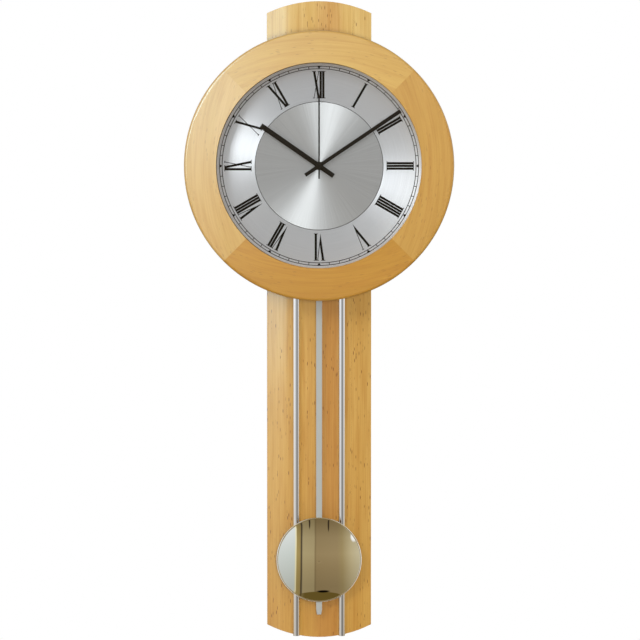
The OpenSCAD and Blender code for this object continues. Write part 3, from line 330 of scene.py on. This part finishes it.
def beech(name, places, tones, shift=0.0, coat=1.0, coat_roughness=0.3, streaks=0.5, flecks=0.6, blush=None):
    """Beech with its grain as places gives it, between two tones, under a clear coat.

    streaks and flecks say how strongly they show. blush is the middle and half width of a browner band.
    """
    material, tree, shader = new_material(name, Roughness=0.5, IOR=1.5, Coat_Weight=coat,
        Coat_Roughness=coat_roughness, Coat_IOR=1.5)
    shifts = (shift, shift, shift)
    place = add(tree, "VectorMath", {"operation": "ADD"}, _0=places(tree), _1=shifts).outputs[0]
    # Broad soft bands, about 14 mm across
    bands = speckle(tree, place, (14 * MM, 14 * MM, 260 * MM))
    colour = ramp(tree, bands, [(0.34, tones[0]), (0.66, tones[1])])
    if blush:
        # A band whose edges wander by up to 8 mm each way
        middle, half = blush
        sway = 8 * MM
        drift = speckle(tree, place, (60 * MM, 60 * MM, 60 * MM))
        wander = calculate(tree, "MULTIPLY_ADD", drift, 2 * sway, object_axes(tree)[0])
        offset = calculate(tree, "ABSOLUTE", calculate(tree, "SUBTRACT", wander, middle + sway))
        band = calculate(tree, "MULTIPLY", fade(tree, offset, half * 1.6, half * 0.4), 0.4)
        colour = blend(tree, band, colour, linear("b8742a"))
    # Soft growth lines, 1.6 and 5 mm apart
    fine = speckle(tree, place, (1.1 * MM, 1.1 * MM, 70 * MM))
    fine_lines = ramp(tree, fine, [(0.36, "e8d4ae"), (0.56, "ffffff")])
    colour = blend(tree, streaks, colour, fine_lines, "MULTIPLY")
    broad = speckle(tree, place, (3.5 * MM, 3.5 * MM, 50 * MM))
    broad_lines = ramp(tree, broad, [(0.36, "e9d4ac"), (0.54, "ffffff")])
    colour = blend(tree, streaks, colour, broad_lines, "MULTIPLY")
    fleck = calculate(tree, "MULTIPLY", share_of_flecks(tree, place, shift), flecks)
    colour = blend(tree, fleck, colour, linear("7a4a1c"))
    put(tree, shader, "Base Color", colour)
    # Fine pores ripple the face
    pores = speckle(tree, place, (0.4 * MM, 0.4 * MM, 6 * MM))
    bump_up(tree, shader, 0.12, 0.05 * MM, pores)
    return material, tree, shader


def recolour(tree, shader, share, colour, kind="MIX"):
    """Lays a colour over what the shader's base colour has so far."""
    so_far = shader.inputs["Base Color"].links[0].from_socket
    put(tree, shader, "Base Color", blend(tree, share, so_far, colour, kind))


def dress(material, *names):
    """Gives CAD nodes a material."""
    for name in names:
        mesh = nodes[name].data
        mesh.materials.clear()
        mesh.materials.append(material)


def ease_edges(width, *names):
    """Rounds the sharp edges of CAD nodes a little, as sanding and tumbling do."""
    for name in names:
        weld = nodes[name].modifiers.new("weld", "WELD")
        weld.merge_threshold = 0.001 * MM
        bevel = nodes[name].modifiers.new("eased_edges", "BEVEL")
        bevel.width = width
        bevel.segments = 2
        bevel.limit_method = "ANGLE"
        bevel.angle_limit = math.radians(40)
        nodes[name].modifiers.new("flat_faces", "WEIGHTED_NORMAL").weight = 80


# Warm straw beech, browner down its middle, whose smooth lacquer shines at a slant
panel_wood, panel_tree, panel_shader = beech("bent_laminated_beech", upright_grain, ("d5b064", "dfbf78"),
    coat_roughness=0.16, streaks=0.38, flecks=1.0, blush=(9 * MM, 11 * MM))
panel_low, panel_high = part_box("back_panel")
x, y, height = object_axes(panel_tree)
# Painted light: the panel is tinted paler towards the top, standing in for the stronger light from above, and
# darker towards its foot
lift = add(panel_tree, "MapRange", Value=height, From_Min=panel_low.z, From_Max=panel_high.z).outputs[0]
painted_top_light = ramp(panel_tree, lift, [(0.0, "e7cf9c"), (0.4, "ecdbba"), (0.62, "eedeba"), (0.9, "ffffff")])
recolour(panel_tree, panel_shader, 1.0, painted_top_light, "MULTIPLY")
# Glue lines between the veneers, which lie on circles about the panel's bend
bend_r = 139.25 * MM
veneer = 1.6 * MM
glue_half = 0.08 * MM
depth = calculate(panel_tree, "SUBTRACT", y, panel_low.y + bend_r)
below_face = calculate(panel_tree, "SUBTRACT", length_of(panel_tree, x, depth), bend_r)
layer = calculate(panel_tree, "PINGPONG", below_face, veneer / 2)
at_line = fade(panel_tree, layer, glue_half, 0.0)
inside = fade(panel_tree, calculate(panel_tree, "ABSOLUTE", below_face), glue_half, 3 * glue_half)
at_glue = calculate(panel_tree, "MULTIPLY", calculate(panel_tree, "MULTIPLY", at_line, inside), 0.6)
recolour(panel_tree, panel_shader, at_glue, linear("6e4420"))
dress(panel_wood, "back_panel")
ease_edges(0.5 * MM, "back_panel")


# Battens, saddles and back board
# Sawn beech blocks and a veneered board behind the head, sanded and left unlacquered.
# Bare wood looks flat and browner than lacquered wood, and its streaks are plain.
def level_grain(tree):
    """Places in wood whose grain lies level."""
    x, y, z = object_axes(tree)
    return add(tree, "CombineXYZ", X=z, Y=y, Z=x).outputs[0]


blocks = ["upper_batten", "lower_batten", "upper_saddle", "lower_saddle"]
dress(beech("sawn_beech", level_grain, ("c08a4c", "cb9a5e"), shift=1.3, coat=0.0, streaks=0.7)[0], *blocks)
board_wood = beech("veneered_board", level_grain, ("bd8a50", "c99a62"), shift=3.1, coat=0.0, streaks=0.9)[0]
dress(board_wood, "back_board")
ease_edges(0.5 * MM, *blocks, "back_board")

# Wall pads
# Discs of dark pressed wool felt, glued under the lower batten.
# The tangled hairs make it quite matt, with a soft pale bloom.
felt, felt_tree, felt_shader = new_material("wool_felt", Roughness=0.95, Sheen_Weight=0.4)
hairs = speckle(felt_tree, object_place(felt_tree), (0.3 * MM, 0.3 * MM, 0.3 * MM), 4.0)
put(felt_tree, felt_shader, "Base Color", ramp(felt_tree, hairs, [(0.35, "38322c"), (0.65, "5c544c")]))
bump_up(felt_tree, felt_shader, 0.6, 0.3 * MM, hairs)
dress(felt, "wall_pads")


# Hanger plate and screws
# Zinc-plated steel, stamped, and steel screws with a yellow passivated finish.
# The plate is grey with faint cloudy spangles, and the screws gleam like brass.
def metal(name, colour, roughness, sizes=(0.5 * MM, 0.5 * MM, 0.5 * MM), bump=0.05, metallic=1.0):
    """A bare or plated metal. Its marks, of these real sizes, vary the gloss and ripple the face."""
    material, tree, shader = new_material(name, Metallic=metallic)
    marks = speckle(tree, object_place(tree), sizes)
    dulling = ramp(tree, marks, [(0.3, "b0b0b0"), (0.7, "ffffff")])
    put(tree, shader, "Base Color", blend(tree, 0.12, linear(colour), dulling, "MULTIPLY"))
    put(tree, shader, "Roughness", calculate(tree, "MULTIPLY_ADD", marks, roughness * 0.4, roughness * 0.8))
    bump_up(tree, shader, bump, 0.02 * MM, marks)
    return material


dress(metal("zinc_plated_steel", "b6bac0", 0.36, (6 * MM, 6 * MM, 4 * MM)), "hanger_plate")
screws = ["hanger_screws", "saddle_screws", "head_screws", "case_screws", "rod_screws"]
dress(metal("passivated_steel", "c9b37c", 0.30), *screws)
ease_edges(0.15 * MM, "hanger_plate")


# Head
# A bent beech drum carries a ring of four quarters, glued end to end, turned and lacquered.
# The grain runs round the drum, and in each quarter it runs partly round and partly straight.
def round_places(tree):
    """Distances right of and above the dial's centre, from the wall and out from the centre."""
    moved = add(tree, "VectorMath", {"operation": "SUBTRACT"}, _0=object_place(tree), _1=dial_centre)
    x, y, z = add(tree, "SeparateXYZ", Vector=moved.outputs[0]).outputs
    return x, y, z, length_of(tree, x, z)


def bent_grain(tree):
    """Places in the drum: X is the depth, Y the distance from the centre, and Z runs round it."""
    x, y, z, r = round_places(tree)
    drum_low, drum_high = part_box("head_drum")
    drum_r = (drum_high.x - drum_low.x) / 2
    round_way = calculate(tree, "MULTIPLY", calculate(tree, "ARCTAN2", x, z), drum_r)
    return add(tree, "CombineXYZ", X=y, Y=r, Z=round_way).outputs[0]


def quarter_grain(axis, sign):
    """Places in a quarter of the ring that lies on this side of the dial's centre."""
    def places(tree):
        x, y, z, r = round_places(tree)
        out, along = (x, z) if axis == "x" else (z, x)
        half_way = calculate(tree, "MULTIPLY_ADD", out, 0.5 * sign, calculate(tree, "MULTIPLY", r, 0.5))
        return add(tree, "CombineXYZ", X=half_way, Y=y, Z=along).outputs[0]
    return places


dress(beech("drum_beech", bent_grain, ("c08a48", "ca9858"), shift=7.0, coat_roughness=0.35)[0], "head_drum")
# Each quarter was cut from another board, so its tone differs. The tones also hold painted light: the top and
# left quarters lighter and the bottom one darker, as the light falls from above left. The satin lacquer glows
# broadly.
opening_radius = 94.6 * MM
for name, axis, sign, tones in (
        ("ring_segment_top", "z", 1, ("c69c4a", "cea654")),
        ("ring_segment_right", "x", 1, ("b88a36", "c29442")),
        ("ring_segment_bottom", "z", -1, ("b48022", "bd892a")),
        ("ring_segment_left", "x", -1, ("c69e52", "cea660"))):
    shift = 11.0 + 5.0 * quarters.index(name)
    lacquered, tree, shader = beech("beech_" + name, quarter_grain(axis, sign), tones, shift=shift,
        coat_roughness=0.34, streaks=0.3, flecks=0.4)
    # Painted shade: a dark line on the edge of the opening where the lip's shadow falls, darkest where the
    # edge faces down and right
    x, y, z, r = round_places(tree)
    shade_side = calculate(tree, "MULTIPLY_ADD", x, -0.94, calculate(tree, "MULTIPLY", z, 0.34))
    shade_facing = calculate(tree, "DIVIDE", shade_side, r)
    at_shaded_edge = fade(tree, r, opening_radius + 0.9 * MM, opening_radius + 0.4 * MM)
    depth_of_shade = calculate(tree, "MULTIPLY_ADD", fade(tree, shade_facing, -0.2, 0.3), 0.8, 0.1)
    recolour(tree, shader, calculate(tree, "MULTIPLY", at_shaded_edge, depth_of_shade), linear("4c3a16"))
    dress(lacquered, name)

# Glass
# A flat pane of clear float glass, held against the ring's lip by a bent strip of beech.
# Only its outer face mirrors, faintly, and it takes next to no light from the dial.
glass = bpy.data.materials.new("float_glass")
glass.use_nodes = True
pane = glass.node_tree
pane.nodes.clear()
clear = add(pane, "BsdfTransparent", Color=linear("fefefe"))
gloss = add(pane, "BsdfGlossy", Roughness=0.0)
outer_face = calculate(pane, "SUBTRACT", 1.0, add(pane, "NewGeometry").outputs["Backfacing"])
mirrored = calculate(pane, "MULTIPLY", add(pane, "Fresnel", IOR=1.45).outputs[0], outer_face)
pane_mix = add(pane, "MixShader", _0=mirrored, _1=clear.outputs[0], _2=gloss.outputs[0])
add(pane, "OutputMaterial", Surface=pane_mix.outputs[0])
dress(glass, "glass")
# The strip is beech with a thin coat. Its tone is made very pale as painted light, standing in for light that
# its place in the recess does not get
dress(beech("spacer_beech", bent_grain, ("f2cfac", "f8dab8"), shift=5.3, coat=0.3)[0], "glass_spacer")

# Dial
# An aluminium sheet brushed round and round on fibreboard, with a centre disc brushed outwards.
# The numerals and the minute track are screen printed in black.
fibreboard, board_tree, board_shader = new_material("fibreboard", Roughness=0.9)
fibres = speckle(board_tree, object_place(board_tree), (1.5 * MM, 1.5 * MM, 0.4 * MM), 4.0)
put(board_tree, board_shader, "Base Color", ramp(board_tree, fibres, [(0.35, "6a5036"), (0.65, "8a6c4c")]))
dress(fibreboard, "dial_board")


def brushed(name, colour, metallic, roughness, strokes_outwards):
    """Aluminium brushed about the dial's centre, outwards or round and round."""
    turn = 0.0 if strokes_outwards else 0.25
    material, tree, shader = new_material(name, Metallic=metallic, Roughness=roughness, Anisotropic=0.85,
        Anisotropic_Rotation=turn)
    x, y, z, r = round_places(tree)
    unit_x = calculate(tree, "DIVIDE", x, calculate(tree, "MAXIMUM", r, 0.5 * MM))
    unit_z = calculate(tree, "DIVIDE", z, calculate(tree, "MAXIMUM", r, 0.5 * MM))
    place = add(tree, "CombineXYZ", X=unit_x, Y=r, Z=unit_z).outputs[0]
    sizes = (0.012, 0.2, 0.012) if strokes_outwards else (0.8, 0.35 * MM, 0.8)
    strokes = ramp(tree, speckle(tree, place, sizes), [(0.3, "e8e8e8"), (0.7, "ffffff")])
    put(tree, shader, "Base Color", blend(tree, 0.6, linear(colour), strokes, "MULTIPLY"))
    about_dial = add(tree, "Tangent", {"direction_type": "RADIAL", "axis": "Y"})
    put(tree, shader, "Tangent", about_dial.outputs[0])
    return material


# The strokes spread each light into bright wedges, to the sides on the sheet and up and down on the disc
dress(brushed("circular_brushed_aluminium", "f0f4f8", 0.75, 0.42, False), "dial_plate")
dress(brushed("sunray_brushed_aluminium", "e1e4e5", 0.8, 0.40, True), "dial_centre_disc")


def coated(name, low, high, roughness, grain=0.4 * MM, bump=0.1, **values):
    """Paint, print or moulded plastic between two close tones, with a fine grain of a real size."""
    material, tree, shader = new_material(name, **values)
    grains = speckle(tree, object_place(tree), (grain, grain, grain), 3.0)
    put(tree, shader, "Base Color", ramp(tree, grains, [(0.3, low), (0.7, high)]))
    put(tree, shader, "Roughness", calculate(tree, "MULTIPLY_ADD", grains, roughness * 0.3, roughness * 0.85))
    bump_up(tree, shader, bump, 0.03 * MM, grains)
    return material


# The ink is a dense black with hardly any shine
ink = coated("black_dial_ink", "050505", "0b0a0a", 0.5, Specular_IOR_Level=0.15)
dress(ink, "numerals", "minute_track")

# Movement
# A black moulded case and cover hold the gear train, the two motors, the board and the aerial.
# Wheels are pale acetal, rotors are dark ferrite-filled plastic, and the coils are copper wire.
# Spark-eroded moulds leave the case a leathery black, and the hook a smoother one
dress(coated("black_moulded_abs", "1c1c1d", "28282a", 0.5, 0.5 * MM, 0.4), "movement_case", "movement_cover")
dress(coated("hanger_acetal", "202022", "2a2a2c", 0.35), "pendulum_hanger")
ease_edges(0.25 * MM, "movement_case", "movement_cover")
# Turned brass is bright and yellow, with a fine tool mark
dress(metal("turned_brass", "c9a24e", 0.28), "shaft_bush", "gear_plate")
# Natural acetal is creamy and slightly glossy
wheels = ["seconds_wheel", "minute_wheel", "hour_wheel", "seconds_idler", "minute_idler", "motion_wheel"]
dress(coated("moulded_acetal", "dedac8", "eae6d8", 0.35), *wheels)
# Ferrite makes plastic and sintered rods a dull charcoal
dress(coated("ferrite_filled_plastic", "303032", "404044", 0.5), "seconds_rotor", "minute_rotor")
dress(coated("sintered_ferrite", "2c2c2f", "3a3a3e", 0.55), "antenna_rod")
# Punched silicon steel is grey and half matt
dress(metal("stator_steel", "8c8d91", 0.4), "motor_stators")
# Enamelled copper wire shows as close ridges of reddish orange
wire_pitch = 0.25 * MM
turns = (wire_pitch, 4 * MM, 4 * MM)
for name, node in (
        ("motor_winding", "motor_coils"),
        ("aerial_winding", "antenna_coil"),
        ("drive_winding", "drive_coil")):
    dress(metal(name, "b8663a", 0.32, turns, 0.5), node)
# Solder mask is a glossy dark green, nickel a warm bright grey, and the buttons a plain pale grey
dress(coated("green_solder_mask", "1a5230", "22683c", 0.32, 2 * MM), "circuit_board")
dress(metal("nickel_plated_steel", "c8c8c4", 0.22), "battery_contacts", "hanger_magnet", "pivot_pin")
buttons = ["set_button", "reset_button", "signal_button"]
dress(coated("grey_moulded_abs", "c6c6c0", "d2d2cc", 0.4), *buttons)

# Battery
# One alkaline AA cell in a plain printed sleeve, with bare steel at both ends.
# The sleeve is glossy, charcoal with a pale grey end, and lightly scuffed.
battery_low, battery_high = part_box("battery")
cell, cell_tree, cell_shader = new_material("battery_sleeve", Roughness=0.3)
x = object_axes(cell_tree)[0]
from_left = fade(cell_tree, x, battery_low.x + 1.0 * MM, battery_low.x + 1.3 * MM)
from_right = fade(cell_tree, x, battery_high.x - 2.2 * MM, battery_high.x - 2.5 * MM)
sleeve = calculate(cell_tree, "MULTIPLY", from_left, from_right)
pale_end = fade(cell_tree, x, battery_high.x - 16.2 * MM, battery_high.x - 16.0 * MM)
print_colour = blend(cell_tree, pale_end, linear("2a2a2c"), linear("9a9ea2"))
rubs = speckle(cell_tree, object_place(cell_tree), (2 * MM, 1 * MM, 1 * MM))
scuffs = ramp(cell_tree, rubs, [(0.3, "e6e6e6"), (0.7, "ffffff")])
cell_colour = blend(cell_tree, sleeve, linear("c4c4c0"), print_colour)
put(cell_tree, cell_shader, "Base Color", blend(cell_tree, 1.0, cell_colour, scuffs, "MULTIPLY"))
bare_steel = calculate(cell_tree, "SUBTRACT", 1.0, calculate(cell_tree, "MULTIPLY", sleeve, 0.6))
put(cell_tree, cell_shader, "Metallic", bare_steel)
dress(cell, "battery")

# Hands
# Stamped from sheet metal and painted a brown black.
# The sprayed paint has a satin face with a fine orange-peel grain.
hand_paint = coated("hand_paint", "0d0b09", "14110e", 0.45, 0.6 * MM, Specular_IOR_Level=0.3)
dress(hand_paint, "hour_hand", "minute_hand", "second_hand")
ease_edges(0.1 * MM, "hour_hand", "minute_hand")

# Pendulum
# A strip of satin aluminium, brushed lengthwise, carries a pressed steel bob with a chrome finish.
# The strip and its clip are a soft pale grey, and the bob's back is dull steel.
strip_metal = metal("satin_aluminium", "ecefe9", 0.42, (0.15 * MM, 0.15 * MM, 12 * MM), 0.2, 0.7)
dress(strip_metal, "pendulum_strip", "bob_clip")
dress(metal("bob_back_steel", "b8babc", 0.4, (3 * MM, 3 * MM, 3 * MM)), "bob_back")
ease_edges(0.15 * MM, "pendulum_strip")


def chrome(name, colour, roughness, ripple):
    """Bright chrome plate, with the slow ripple of polished sheet or tube under it."""
    material, tree, shader = new_material(name, Metallic=1.0, Base_Color=linear(colour), Roughness=roughness)
    waves = speckle(tree, object_place(tree), (18 * MM, 18 * MM, 26 * MM), 1.0)
    bump_up(tree, shader, 1.0, ripple, waves)
    return material


# The dome is a clear mirror, in which the room bends
dress(chrome("bob_chrome", "f2f1ee", 0.0, 0.03 * MM), "bob_shell")

# Rods
# Chrome-plated steel tubes on short posts, screwed on from behind the panel.
# The drawn tube is a little less clear a mirror than the bob.
dress(chrome("rod_chrome", "f2f3f4", 0.05, 0.03 * MM), "side_rods", "rod_spacers")
